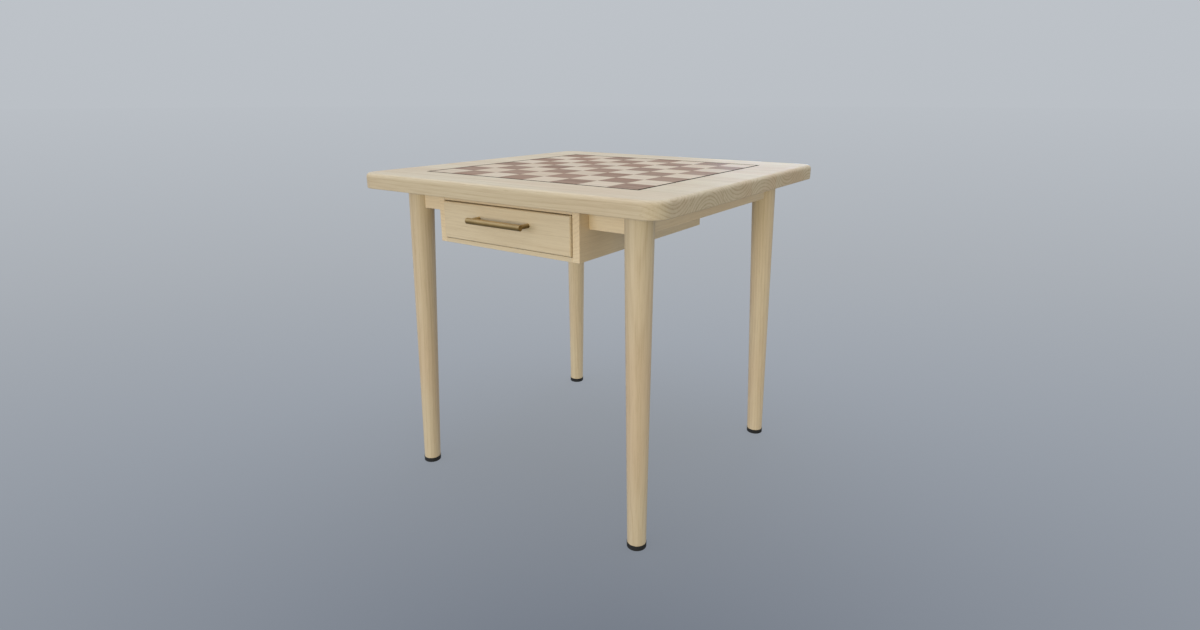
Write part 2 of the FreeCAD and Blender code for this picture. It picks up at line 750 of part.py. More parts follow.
def tray_bottom(grow, lift):
    """The drawer bottom's form, wider by grow at its edges and thicker by lift each way."""
    reach = DRAWER_BOTTOM_TONGUE + grow
    x = (-BOX_INNER - reach, BOX_INNER + reach)
    y = (TRAY_FRONT - reach, TRAY_REAR + reach)
    return block(x, y, (TRAY_PANEL - lift, TRAY_FLOOR + lift))


def bottom_groove():
    return tray_bottom(PANEL_EDGE_GAP, PANEL_GAP)


def handle_posts_x():
    return {"left": -HANDLE_CENTRES / 2, "right": HANDLE_CENTRES / 2}


def handle_bar():
    start = Vector(-HANDLE_LENGTH / 2, HANDLE_AXIS, HANDLE_HEIGHT)
    bar = Part.makeCylinder(HANDLE_BAR_RADIUS, HANDLE_LENGTH, start, ALONG_X)
    rims = [edge for edge in bar.Edges if edge.BoundBox.XLength < EASE]
    return bar.makeFillet(HANDLE_END_ROUND, rims)


def handle_post(x):
    """A round post from the drawer front, hollowed at its end to fit the bar."""
    foot = Vector(x, FRONT_FACE, HANDLE_HEIGHT)
    post = Part.makeCylinder(HANDLE_POST_RADIUS, HANDLE_STANDOFF, foot, FORWARDS)
    bar_start = Vector(-HANDLE_LENGTH, HANDLE_AXIS, HANDLE_HEIGHT)
    bar_form = rod_hole((bar_start, ALONG_X), 2 * HANDLE_LENGTH, HANDLE_BAR_RADIUS)
    return cut_all(post, [bar_form] + handle_screw_holes())


def handle_screw_place(x):
    return Vector(x, TRAY_FRONT + HANDLE_SCREW_HEAD_HEIGHT, HANDLE_HEIGHT), FORWARDS


def handle_screw_form(x, grow):
    """A pan head inside the drawer, and a shank through both boards into the post."""
    head = HANDLE_SCREW_HEAD_RADIUS + grow
    shank = HANDLE_SCREW_RADIUS + grow
    end = HANDLE_SCREW_HEAD_HEIGHT + DRAWER_WALL + FRONT_THICKNESS + HANDLE_SCREW_BITE + grow
    neck = HANDLE_SCREW_HEAD_HEIGHT
    profile = [(0, 0), (head, 0), (head, neck), (shank, neck), (shank, end), (0, end)]
    return turned(profile, *handle_screw_place(x))


def handle_screw(x):
    return handle_screw_form(x, 0).cut(drive_recess(handle_screw_place(x)))


def handle_screw_holes():
    return [handle_screw_form(x, FASTENER_GAP) for x in handle_posts_x().values()]


# Make every node

def save_top():
    save("tabletop", tabletop())
    save("board_backing", board_backing())
    save("light_squares", *squares(0))
    save("dark_squares", *squares(1))
    turns = {"front": 0, "right": 90, "back": 180, "left": 270}
    for name, turn_deg in turns.items():
        save("border_" + name, border_strip(turn_deg))
    screws = button_screws()
    places = button_places()
    save("tabletop_buttons", *[button(place, *held) for place, held in zip(places, screws)])
    save("button_screws", *[screw(place, length) for place, length in screws])


def save_legs():
    for name, corner in CORNERS.items():
        save("leg_" + name, leg(corner))
        save("glide_" + name, glide(corner))
        save("corner_block_" + name, corner_block(corner))
    corners = CORNERS.values()
    save("hanger_bolts", *[hanger_bolt(corner) for corner in corners])
    save("hanger_washers", *[washer(corner) for corner in corners])
    save("hanger_nuts", *[nut(corner) for corner in corners])
    found = [held for corner in corners for held in block_screws(corner)]
    save("corner_block_screws", *[screw(place, length) for place, length in found])


def save_aprons():
    save("apron_back", apron_back())
    for name, side in SIDES.items():
        save("apron_" + name, apron_left_or_right(side))
        save("apron_front_" + name, apron_front_stub(side))
    save("apron_stub_screws", *[screw(place, length) for place, length in both_sides(stub_screws)])


def save_housing():
    for name, side in SIDES.items():
        save("housing_side_" + name, housing_side(side))
        save("runner_" + name, runner(side))
    save("housing_bottom", housing_bottom())
    save("housing_back", housing_back())
    for rail in ("front", "back"):
        save("housing_rail_" + rail, housing_rail(rail))
    save("housing_dowels", *both_sides(dowels))
    found = rail_screws("front") + rail_screws("back")
    save("housing_screws", *[screw(place, length) for place, length in found])
    save("runner_screws", *[screw(place, length) for place, length in both_sides(runner_screws)])
    save("drawer_stop_pins", *[stop_pin(x) for x in stop_pin_spots()])


def save_drawer():
    save("drawer_front", drawer_front())
    save("drawer_box_front", drawer_box_front())
    save("drawer_back", drawer_back())
    save("drawer_bottom", tray_bottom(0, 0))
    for name, side in SIDES.items():
        save("drawer_side_" + name, drawer_side(side))
    save("drawer_front_screws", *[screw(place, length) for place, length in front_screws()])
    save("handle_bar", handle_bar())
    for name, x in handle_posts_x().items():
        save("handle_post_" + name, handle_post(x))
    save("handle_screws", *[handle_screw(x) for x in handle_posts_x().values()])


save_top()
save_legs()
save_aprons()
save_housing()
save_drawer()
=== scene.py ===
import math
import random

import bpy
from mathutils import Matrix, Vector


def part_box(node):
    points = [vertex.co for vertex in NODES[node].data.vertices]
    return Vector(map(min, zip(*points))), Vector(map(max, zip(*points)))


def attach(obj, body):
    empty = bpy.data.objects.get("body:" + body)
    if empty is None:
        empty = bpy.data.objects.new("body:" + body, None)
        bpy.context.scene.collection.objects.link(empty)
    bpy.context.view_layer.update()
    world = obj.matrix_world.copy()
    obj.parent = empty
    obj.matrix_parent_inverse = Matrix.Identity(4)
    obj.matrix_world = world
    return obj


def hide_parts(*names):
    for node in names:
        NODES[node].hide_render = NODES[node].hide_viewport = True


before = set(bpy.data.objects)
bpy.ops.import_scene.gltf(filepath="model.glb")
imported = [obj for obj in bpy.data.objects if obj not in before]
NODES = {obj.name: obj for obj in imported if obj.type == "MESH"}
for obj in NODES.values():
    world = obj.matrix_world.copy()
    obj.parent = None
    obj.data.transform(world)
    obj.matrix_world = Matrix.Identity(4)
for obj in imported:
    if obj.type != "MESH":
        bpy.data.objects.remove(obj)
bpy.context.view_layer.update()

# The finishes of a square chess table, the studio that it stands in and the camera.
# Metres. +Z is up, the drawer opens towards -Y, and the origin is on the floor under the
# middle of the table. Left and right are as seen from the front.

CORNERS = {
    "front_left": (-1, -1), "front_right": (1, -1), "back_left": (-1, 1), "back_right": (1, 1),
}
MM = 0.001

ALONG_X = Vector((1, 0, 0))
ALONG_Y = Vector((0, 1, 0))
ALONG_Z = Vector((0, 0, 1))

# Camera: where it stands round the table, what it aims at, and its lens
CAMERA_AZIMUTH = math.radians(35)
CAMERA_ELEVATION = math.radians(18)
CAMERA_DISTANCE = 1.6575
CAMERA_AIM = Vector((0, 0, 0.354))
LENS_MM = 20.265
SENSOR_MM = 36

# Construction that the finishes follow: the board, the staves that the top is glued up from, the
# lean of the legs, and the sheets of veneer in the plywood
SQUARES_PER_SIDE = 8
STAVE_WIDTH = 0.13
STAVE_SHIFT = 0.01
SEAM_WIDTH = 0.25 * MM
LEG_SPLAY = math.radians(1.5)
BACKING_PLIES = 3
DRAWER_BOTTOM_PLIES = 5

# The logs: how long they are, and how far across and up from the middle of a piece its log's
# heart lies, as a least and a most. A leg's lies at one distance in any direction, and the
# veneers' at one place.
LOG_LENGTH = 20.0
HEART_ACROSS = (-0.04, 0.04)
HEART_UP = (0.05, 0.10)
STAVE_HEART_ACROSS = (-0.012, 0.012)
STAVE_HEART_UP = (0.05, 0.075)
LEG_HEART = 0.055
VENEER_HEART = (0.03, -0.25)

# How bright some pieces are beside the rest of their material. The aprons, the housing sides and
# the back legs are brightened with painted light where they lie in shade, and the top's edge and
# the handle's posts are darkened with painted shade. The boards are named without their side, and
# the top's edge is its upright faces.
BOARD_PAINTED_LIGHT = {"apron": 1.11, "apron_front": 1.11, "housing_side": 1.05}
BACK_LEG_PAINTED_LIGHT = 1.07
TOP_EDGE_PAINTED_SHADE = 0.9
POST_PAINTED_SHADE = 0.7

# Hanger bolts: the machine thread of their inner ends. THREAD_STEPS is the rings of points to a
# turn of the thread, and THREAD_SIDES the points to a ring.
THREAD_PITCH = 1.25 * MM
THREAD_DEPTH = 0.65 * MM
THREAD_LENGTH = 18 * MM
THREAD_STEPS = 8
THREAD_SIDES = 32


def colour(red, green, blue):
    """A colour given as it looks on a screen, 0 to 255, for a shader socket."""
    def linear(value):
        value /= 255
        return value / 12.92 if value <= 0.04045 else ((value + 0.055) / 1.055) ** 2.4
    return linear(red), linear(green), linear(blue), 1.0


# How each wood looks. ring, end_ring, streak, fibre and pore say how far the late wood on a face
# and on an end, the broad streaks, the fine fibres and the pores pull the pale colour towards the
# dark one. piece is how much the boards differ in brightness, and end and the edge brightening are
# how bright the ends and the edges are: darker ends and worn edges, and in PLAIN_ASH also painted
# light on the ends and a painted highlight along the wide rounded edges. ring_width, relief and
# edge, the radius of the edge brightening, are lengths.
ASH = {
    "pale": colour(212, 194, 162), "dark": colour(168, 142, 106), "warm": colour(208, 184, 151),
    "ring_width": 7.0 * MM, "ring": 0.17, "end_ring": 0.46, "streak": 0.20, "fibre": 0.27,
    "pore": 0.20, "piece": 0.02, "end": 0.95, "roughness": 0.56, "gloss": 0.4,
    "relief": 0.03 * MM, "edge": 1.6 * MM, "wear_and_highlight": 1.05,
}
# PLAIN_ASH's ends, brighter than its faces, are painted light, and its bright, wide edge
# brightening is worn edges and a painted highlight along the rounded edges.
PLAIN_ASH = dict(
    ASH, pale=colour(219, 201, 169), dark=colour(176, 150, 114), warm=colour(216, 194, 160),
    ring=0.06, end_ring=0.20, streak=0.14, fibre=0.22, end=1.05, edge=3.0 * MM, wear_and_highlight=1.18,
)
MAPLE = dict(
    ASH, pale=colour(210, 190, 162), dark=colour(178, 156, 125), warm=colour(206, 183, 154),
    ring_width=5.0 * MM, ring=0.20, streak=0.26, pore=0.10, piece=0.03, gloss=0.1,
)
WALNUT = dict(
    ASH, pale=colour(160, 131, 107), dark=colour(118, 88, 67), warm=colour(157, 123, 98),
    ring_width=5.0 * MM, ring=0.34, streak=0.40, fibre=0.45, pore=0.35, piece=0.06, gloss=0.1,
)
WENGE = dict(
    WALNUT, pale=colour(42, 31, 25), dark=colour(22, 16, 13), warm=colour(38, 27, 21),
    roughness=0.8, gloss=0.0,
)
BIRCH = dict(
    MAPLE, pale=colour(220, 200, 164), dark=colour(190, 160, 120), warm=colour(214, 186, 148),
    roughness=0.55, streak=0.45,
)
BEECH = dict(
    ASH, pale=colour(202, 164, 126), dark=colour(162, 120, 84), warm=colour(198, 150, 112),
    pore=0.6, roughness=0.6,
)

# The marks that all woods share: waves to a metre along and across the grain, and their detail
WAVERS = (2.2, 6.0, 1.0)
STREAKS = (2.2, 75.0, 3.0)
FIBRES = (14.0, 520.0, 3.0)
PORES = (38.0, 1150.0, 2.0)
CLOUDS = (1.6, 7.0, 2.0)

# Growth rings: how far they waver, how many uneven places to a metre shift them and by how many
# rings, and how dark one ring is from its early wood to its late wood
WAVER = 9 * MM
UNEVEN_PLACES = 60.0
UNEVEN_SHIFT = 1.6
RING_SHADES = ((0.0, 0.45), (0.1, 0.06), (0.55, 0.16), (0.9, 1.0), (1.0, 0.45))

# Where smooth steps begin and end. PORE_STEP and CLOUD_STEP are places in the noise that makes
# pores and warm clouds. The others are cosines: between a face's normal and the grain, where the
# face turns into an end, between it and upright, where the face turns level, and between it and
# the normal of the rounded form near an edge.
PORE_STEP = (0.60, 0.72)
CLOUD_STEP = (0.38, 0.66)
END_STEP = (0.7, 0.98)
LEVEL_STEP = (0.5, 1.0)
EDGE_STEP = (0.75, 0.99)
EDGE_SAMPLES = 4

# How dark plain wood and an average ring are, how much a glue line darkens, what each feature
# adds to the roughness, and its share of the relief
PLAIN_SHADE = 0.26
AVERAGE_RING = 0.35
SEAM_SHADE = 0.5
ROUGHENING = {"end": 0.14, "streak": 0.05, "shade": 0.08, "wear_and_highlight": -0.05}
RELIEF = {"fibre": 0.6, "late": 0.25, "pore": 0.5}

# How the metals and the rubber look. A mark's noise is its waves to a metre and its detail, and
# its step is where in that noise it comes in. The brush marks have waves along and across the
# piece. light, how bright a mark leaves the colour, and roughness go from where the mark is
# faintest to where it is strongest, and a single number is what it adds there. grey is how far it
# turns the black grey. The edge brightening is how bright the worn edges are, and edge, the radius
# of wear, and relief are lengths. The bronze's first two colours are painted shade on faces that
# look down and a painted highlight on faces that look up.
BRONZE = {
    "painted_under_shade": colour(148, 124, 81), "painted_top_highlight": colour(246, 221, 172),
    "brush_along": 35, "brush_across": 1500,
    "brush_light": (0.90, 1.10), "brush_roughness": (0.46, 0.60),
    "patina_noise": (34.0, 3.0), "patina_step": (0.30, 0.78),
    "patina_light": (1.05, 0.80), "patina_roughness": 0.06,
    "edge": 1.2 * MM, "wear_and_highlight": 1.12, "relief": 0.01 * MM,
}
ZINC = {
    "blue": colour(188, 192, 200), "straw": colour(202, 196, 178),
    "tint_noise": (260.0, 2.0), "tint_step": (0.35, 0.65),
    "grain_noise": (2600.0, 3.0), "grain_light": (0.88, 1.08), "grain_roughness": (0.26, 0.46),
    "edge": 0.5 * MM, "wear_and_highlight": 1.12, "worn_roughness": -0.06, "relief": 0.01 * MM,
}
RUBBER = {
    "black": colour(22, 21, 20), "scuffed": colour(78, 75, 70),
    "speckle_noise": (1400.0, 3.0), "speckle_light": (0.7, 1.3), "speckle_roughness": (0.62, 0.84),
    "scuff_noise": (160.0, 4.0), "scuff_step": (0.52, 0.75),
    "scuff_grey": 0.25, "scuff_roughness": 0.06,
    "edge": 1.0 * MM, "worn_grey": 0.2, "relief": 0.05 * MM,
}

# The backdrop's colours by the sine of their height
SKY = (
    (0.0, colour(187, 192, 198)),
    (0.14, colour(190, 195, 201)),
    (0.4, colour(204, 208, 213)),
    (1.0, colour(214, 217, 221)),
)

# The floor is a disc just below the feet. It is darkest at one place, and paler away from it: a
# painted dark pool, painted shade round the table.
# FLOOR_SQUEEZE stretches the dark pool along FLOOR_TURN, and FLOOR_SOFTNESS blurs its middle.
# Part of the floor's colour is its own glow: FLOOR_GLOW of it near the pool, which grows to all
# of it over the distances in FLOOR_FADE.
FLOOR_RADIUS = 60.0
FLOOR_SIDES = 128
FLOOR_DROP = 0.2 * MM
FLOOR_NEAR = colour(104, 111, 122)
FLOOR_FAR = SKY[0][1]
FLOOR_GLOW = 0.8
FLOOR_FADE = (0.6, 3.0)
FLOOR_DARKEST = Vector((0.45, -0.65, 0))
FLOOR_TURN = math.radians(35)
FLOOR_SQUEEZE = 0.55
FLOOR_SOFTNESS = 0.12

# Each softbox: place, what it is aimed at, width and height, power and tint
LIGHTS = {
    "key": ((-3.7, -14.0, 2.2), (0, 0, 0.5), (10.0, 4.0), 552, (0.82, 0.87, 1.0)),
    "key_right": ((6.4, -12.8, 2.2), (0, 0, 0.5), (10.0, 4.0), 530, (1.0, 0.88, 0.48)),
    "right": ((6.8, -0.8, 1.25), (0, 0, 0.5), (5.0, 2.5), 12, (1.0, 0.98, 0.94)),
    "left": ((-6.6, -2.4, 1.25), (0, 0, 0.5), (5.0, 2.5), 7, (1.0, 0.8, 0.7)),
    "glow": ((-0.50, 3.0, 1.0), (0.2, 0.2, 0.7), (1.2, 0.4), 15, (0.6, 0.73, 1.0)),
    "overhead": ((0.0, 0.0, 3.2), (0, 0, 0.6), (2.4, 2.4), 49, (0.57, 0.71, 1.0)),
}


def set_stops(ramp, stops):
    """Gives a colour ramp its (place, colour) stops."""
    while len(ramp.elements) < len(stops):
        ramp.elements.new(0.5)
    for point, (place, tint) in zip(ramp.elements, stops):
        point.position = place
        point.color = tint


class Graph:
    """A material's node tree. Each call adds a node and returns its output socket."""

    def __init__(self, name):
        self.material = bpy.data.materials.new(name)
        self.material.use_nodes = True
        self.tree = self.material.node_tree
        self.shader = self.tree.nodes["Principled BSDF"]

    def put(self, socket, value):
        if isinstance(value, bpy.types.NodeSocket):
            self.tree.links.new(value, socket)
        else:
            socket.default_value = value

    def add(self, kind, inputs, output=0, **settings):
        made = self.tree.nodes.new("ShaderNode" + kind)
        for setting, value in settings.items():
            setattr(made, setting, value)
        for socket, value in inputs.items():
            self.put(made.inputs[socket], value)
        return made.outputs[output]

    def math(self, operation, *values):
        return self.add("Math", dict(enumerate(values)), operation=operation)

    def total(self, first, *others):
        for other in others:
            first = self.math("ADD", first, other)
        return first

    def times(self, first, *others):
        for other in others:
            first = self.math("MULTIPLY", first, other)
        return first

    def minus(self, one, other):
        return self.math("SUBTRACT", one, other)

    def dot(self, one, other):
        return self.add("VectorMath", {0: one, 1: other}, output="Value", operation="DOT_PRODUCT")

    def vector(self, x, y, z):
        return self.add("CombineXYZ", {"X": x, "Y": y, "Z": z})

    def split(self, vector):
        made = self.tree.nodes.new("ShaderNodeSeparateXYZ")
        self.put(made.inputs[0], vector)
        return made.outputs

    def place(self):
        return self.add("TexCoord", {}, output="Object")

    def normal(self):
        return self.add("NewGeometry", {}, output="Normal")

    def noise(self, vector, scale=1.0, detail=2.0, output="Fac"):
        inputs = {"Vector": vector, "Scale": scale, "Detail": detail}
        return self.add("TexNoise", inputs, output=output)

    def step(self, value, low, high, to_low=0.0, to_high=1.0):
        """A smooth step from to_low at low to to_high at high."""
        inputs = {
            "Value": value, "From Min": low, "From Max": high, "To Min": to_low, "To Max": to_high,
        }
        return self.add("MapRange", inputs, interpolation_type="SMOOTHSTEP")

    def spread(self, value, low, high):
        """A value of 0 to 1, spread from low to high."""
        return self.add("MapRange", {"Value": value, "To Min": low, "To Max": high}, clamp=False)

    def mix(self, factor, one, other):
        return self.add("Mix", {0: factor, 6: one, 7: other}, output=2, data_type="RGBA")

    def brighten(self, base, *factors):
        """A colour multiplied by plain numbers."""
        factor = self.times(*factors)
        inputs = {0: 1.0, 6: base, 7: self.vector(factor, factor, factor)}
        return self.add("Mix", inputs, output=2, data_type="RGBA", blend_type="MULTIPLY")

    def curve(self, value, stops):
        """A curve through (place, height) stops."""
        made = self.tree.nodes.new("ShaderNodeValToRGB")
        greys = [(place, (height, height, height, 1)) for place, height in stops]
        set_stops(made.color_ramp, greys)
        self.put(made.inputs["Fac"], value)
        return made.outputs["Color"]

    def edges(self, radius):
        """1 on edges sharper than the radius, 0 on the faces between them."""
        rounded = self.add("Bevel", {"Radius": radius}, samples=EDGE_SAMPLES)
        return self.step(self.dot(rounded, self.normal()), *EDGE_STEP, 1.0, 0.0)

    def finish(self, base, roughness, height, depth, **sockets):
        """Joins colour, roughness and relief to the shader. Sockets are uniform numbers."""
        self.put(self.shader.inputs["Base Color"], base)
        self.put(self.shader.inputs["Roughness"], roughness)
        bump = self.add("Bump", {"Height": height, "Distance": depth}, output="Normal")
        self.put(self.shader.inputs["Normal"], bump)
        for socket, value in sockets.items():
            self.shader.inputs[socket].default_value = value
        return self.material


def dress(name, material):
    """Gives a CAD node its finish."""
    for slot in NODES[name].material_slots:
        slot.material = material


# Wood. A piece is cut from a log: a point in it lies so far along the grain, and so far across
# and up from the piece's middle. The log's heart runs along the grain, off to one side.

def log_place(graph, name, grain):
    """Along, across and up, as sockets. Pieces start at different places along their logs."""
    low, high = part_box(name)
    middle = (low + high) / 2
    helper = ALONG_Z if abs(grain.z) < abs(grain.x) + abs(grain.y) else ALONG_X
    across = helper.cross(grain).normalized()
    up = grain.cross(across).normalized()
    start = random.Random(name).uniform(0, LOG_LENGTH)
    place = graph.place()
    axes = ((grain, start), (across, 0.0), (up, 0.0))
    return [graph.minus(graph.dot(place, axis), middle.dot(axis) - shift) for axis, shift in axes]


def plank(name, look, grain, heart=None, bright=1.0):
    """One board, bright times as bright as its wood. heart is where its log's heart lies, across
    and up from its middle."""
    graph = Graph(name)
    grain = grain.normalized()
    chance = random.Random("heart of " + name)
    if heart is None:
        aside = chance.uniform(*HEART_ACROSS)
        heart = (aside, chance.choice((-1, 1)) * chance.uniform(*HEART_UP))
    end = graph.dot(graph.normal(), grain)
    return grow(graph, look, log_place(graph, name, grain), heart, end, bright)


def laid(name, look, width, shift=0.0, length=None, sides=1.0):
    """Boards laid side by side along X, each from its own log. With a length they are squares.
    The upright faces are sides times as bright as the level ones, which is painted shade on them
    when sides is below 1."""
    graph = Graph(name)
    along, across, up = log_place(graph, name, ALONG_X)
    place = graph.split(graph.place())
    over = graph.math("DIVIDE", graph.total(place["Y"], shift), width)
    # 0.5 is the middle of a board, where no seam lies
    onwards = graph.math("DIVIDE", place["X"], length) if length else 0.5
    row, column = graph.math("FLOOR", over), graph.math("FLOOR", onwards)
    which = graph.vector(column, row, len(name))
    luck = graph.split(graph.add("TexWhiteNoise", {"Vector": which}, output="Color"))
    along = graph.total(along, graph.spread(luck[2], 0.0, LOG_LENGTH))
    across = graph.times(graph.minus(graph.minus(over, row), 0.5), width)
    turned = graph.spread(graph.math("PINGPONG", row, 1.0), -1.0, 1.0)
    heart = (
        graph.spread(luck[0], *STAVE_HEART_ACROSS),
        graph.times(graph.spread(luck[1], *STAVE_HEART_UP), turned),
    )
    seams = (seam_at(graph, over, width), seam_at(graph, onwards, length or width))
    seam = graph.math("MAXIMUM", *seams)
    end = graph.dot(graph.normal(), ALONG_X)
    level = graph.math("ABSOLUTE", graph.split(graph.normal())["Z"])
    # Random brightness for each board, times painted shade on the upright faces
    bright = graph.times(
        graph.spread(luck[1], 1 - look["piece"], 1 + look["piece"]),
        graph.step(level, *LEVEL_STEP, sides, 1.0),
    )
    return grow(graph, look, (along, across, up), heart, end, bright, seam)


def seam_at(graph, count, width):
    """1 on the glue line between two boards, which lies at every whole count."""
    off = graph.math("ABSOLUTE", graph.minus(graph.math("FRACT", count), 0.5))
    line = SEAM_WIDTH / width
    return graph.step(off, 0.5 - line, 0.5 - line / 2)


def plywood(name, look, plies):
    """Sheets of veneer, every second one with its grain across."""
    graph = Graph(name)
    low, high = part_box(name)
    along, across, up = log_place(graph, name, ALONG_X)
    height = graph.minus(graph.split(graph.place())["Z"], low.z)
    layer = graph.math("FLOOR", graph.math("DIVIDE", height, (high.z - low.z) / plies))
    turned = graph.math("MODULO", layer, 2.0)
    normal = graph.split(graph.normal())
    along, across, end = [
        graph.total(graph.times(one, graph.minus(1.0, turned)), graph.times(other, turned))
        for one, other in ((along, across), (across, along), (normal["X"], normal["Y"]))
    ]
    return grow(graph, look, (along, across, up), VENEER_HEART, end)


def stretched(graph, log, marks, output="Fac"):
    """Noise drawn out along the grain. marks are its waves to a metre along and across the grain,
    and its detail."""
    along, across, up = log
    lengthwise, crosswise, detail = marks
    sides = (graph.times(across, crosswise), graph.times(up, crosswise))
    where = graph.vector(graph.times(along, lengthwise), *sides)
    return graph.noise(where, detail=detail, output=output)


def rings(graph, look, log, heart):
    """0 in the early wood of each growth ring, up to 1 in its late wood."""
    sway = graph.split(stretched(graph, log, WAVERS, output="Color"))
    sides = [
        graph.total(graph.minus(offset, centre), graph.spread(drift, -WAVER, WAVER))
        for offset, centre, drift in zip(log[1:], heart, sway)
    ]
    radius = graph.math("SQRT", graph.total(*[graph.times(side, side) for side in sides]))
    uneven = graph.noise(graph.vector(radius, 0.0, 0.0), scale=UNEVEN_PLACES, detail=1.0)
    even_count = graph.math("DIVIDE", radius, look["ring_width"])
    count = graph.total(even_count, graph.spread(uneven, 0.0, UNEVEN_SHIFT))
    return graph.curve(graph.math("FRACT", count), RING_SHADES)


def grow(graph, look, log, heart, end_cosine, bright=1.0, seam=0.0):
    """The wood's colour, sheen and relief, from its rings, streaks, fibres and pores."""
    late = rings(graph, look, log, heart)
    streak = stretched(graph, log, STREAKS)
    fibre = stretched(graph, log, FIBRES)
    pore = graph.step(stretched(graph, log, PORES), *PORE_STEP)
    cloud = graph.step(stretched(graph, log, CLOUDS), *CLOUD_STEP)
    end = graph.step(graph.math("ABSOLUTE", end_cosine), *END_STEP)
    # The edge brightening is wear, and where a look makes it bright and wide, as PLAIN_ASH does,
    # also a painted highlight along the rounded edges.
    wear_and_highlight = graph.edges(look["edge"])

    ring = graph.spread(end, look["ring"], look["end_ring"])
    shade = graph.total(
        PLAIN_SHADE,
        graph.times(graph.minus(late, AVERAGE_RING), ring),
        graph.spread(streak, -look["streak"], look["streak"]),
        graph.spread(fibre, -look["fibre"], look["fibre"]),
        graph.times(pore, look["pore"]),
        graph.times(seam, SEAM_SHADE),
    )
    base = graph.mix(cloud, look["pale"], look["warm"])
    base = graph.mix(graph.step(shade, 0.0, 1.0), base, look["dark"])
    # The ends' brightness is end grain, and painted light where a look makes the ends brighter
    # than the faces.
    base = graph.brighten(
        base, bright, graph.spread(end, 1.0, look["end"]), graph.spread(wear_and_highlight, 1.0, look["wear_and_highlight"]),
    )

    rough = graph.total(
        graph.spread(end, look["roughness"], look["roughness"] + ROUGHENING["end"]),
        graph.spread(streak, -ROUGHENING["streak"], ROUGHENING["streak"]),
        graph.times(shade, ROUGHENING["shade"]),
        graph.times(wear_and_highlight, ROUGHENING["wear_and_highlight"]),
    )
    raised = graph.total(graph.times(fibre, RELIEF["fibre"]), graph.times(late, RELIEF["late"]))
    sunk = graph.total(graph.times(pore, RELIEF["pore"]), seam)
    gloss = {"Specular IOR Level": look["gloss"]}
    return graph.finish(base, rough, graph.minus(raised, sunk), look["relief"], **gloss)


# Metal and rubber

def bronze(name, axis, bright=1.0):
    """Brushed bronze with painted shade underneath and a painted highlight on top, and brighter
    worn edges.
    """
    graph, look = Graph(name), BRONZE
    place = graph.place()
    across = look["brush_across"]
    scale = Vector((across, across, across)) - axis * (across - look["brush_along"])
    brushed = graph.noise(graph.add("Mapping", {"Vector": place, "Scale": scale}))
    patina = graph.step(graph.noise(place, *look["patina_noise"]), *look["patina_step"])
    wear_and_highlight = graph.edges(look["edge"])
    # Painted light: faces that look up get a painted highlight, and faces that look down painted
    # shade
    painted_top_highlight = graph.step(graph.split(graph.normal())["Z"], 0.0, 1.0)
    base = graph.mix(painted_top_highlight, look["painted_under_shade"], look["painted_top_highlight"])
    base = graph.brighten(
        base, bright, graph.spread(brushed, *look["brush_light"]),
        graph.spread(patina, *look["patina_light"]), graph.spread(wear_and_highlight, 1.0, look["wear_and_highlight"]),
    )
    rough = graph.total(
        graph.spread(brushed, *look["brush_roughness"]),
        graph.times(patina, look["patina_roughness"]),
    )
    return graph.finish(base, rough, brushed, look["relief"], Metallic=1.0)


def zinc(name):
    """Zinc plating with its faint blue and straw tints."""
    graph, look = Graph(name), ZINC
    place = graph.place()
    tint = graph.step(graph.noise(place, *look["tint_noise"]), *look["tint_step"])
    grain = graph.noise(place, *look["grain_noise"])
    wear_and_highlight = graph.edges(look["edge"])
    base = graph.mix(tint, look["blue"], look["straw"])
    base = graph.brighten(
        base, graph.spread(grain, *look["grain_light"]), graph.spread(wear_and_highlight, 1.0, look["wear_and_highlight"]),
    )
    rough = graph.total(
        graph.spread(grain, *look["grain_roughness"]), graph.times(wear_and_highlight, look["worn_roughness"]),
    )
    return graph.finish(base, rough, grain, look["relief"], Metallic=1.0)


def rubber(name):
    """Matt black rubber with a fine speckle, greyed where it is scuffed."""
    graph, look = Graph(name), RUBBER
    place = graph.place()
    speckle = graph.noise(place, *look["speckle_noise"])
    scuff = graph.step(graph.noise(place, *look["scuff_noise"]), *look["scuff_step"])
    wear_and_highlight = graph.edges(look["edge"])
    grey = graph.total(
        graph.times(scuff, look["scuff_grey"]), graph.times(wear_and_highlight, look["worn_grey"]),
    )
    base = graph.mix(grey, look["black"], look["scuffed"])
    base = graph.brighten(base, graph.spread(speckle, *look["speckle_light"]))
    rough = graph.total(
        graph.spread(speckle, *look["speckle_roughness"]),
        graph.times(scuff, look["scuff_roughness"]),
    )
    return graph.finish(base, rough, speckle, look["relief"])


# The hanger bolts' threads

def bolt_span(x, y):
    """A bolt's line towards the middle of the table, and its two ends along that line."""
    inwards = Vector((-x, -y, 0)).normalized()
    vertices = NODES["hanger_bolts"].data.vertices
    marks = [v.co.dot(inwards) for v in vertices if v.co.x * x > 0 and v.co.y * y > 0]
    return inwards, min(marks), max(marks)


def thread_radius(crest, mark, turn, end):
    """A bolt's radius at a mark along it and a turn round it, with a chamfer at its end."""
    into = mark - (end - THREAD_LENGTH)
    if into < 0:
        return crest - THREAD_DEPTH / 2
    wave = abs((mark / THREAD_PITCH - turn) % 1 - 0.5) * 2
    root = crest - THREAD_DEPTH
    return min(root + THREAD_DEPTH * wave, root + end - mark)


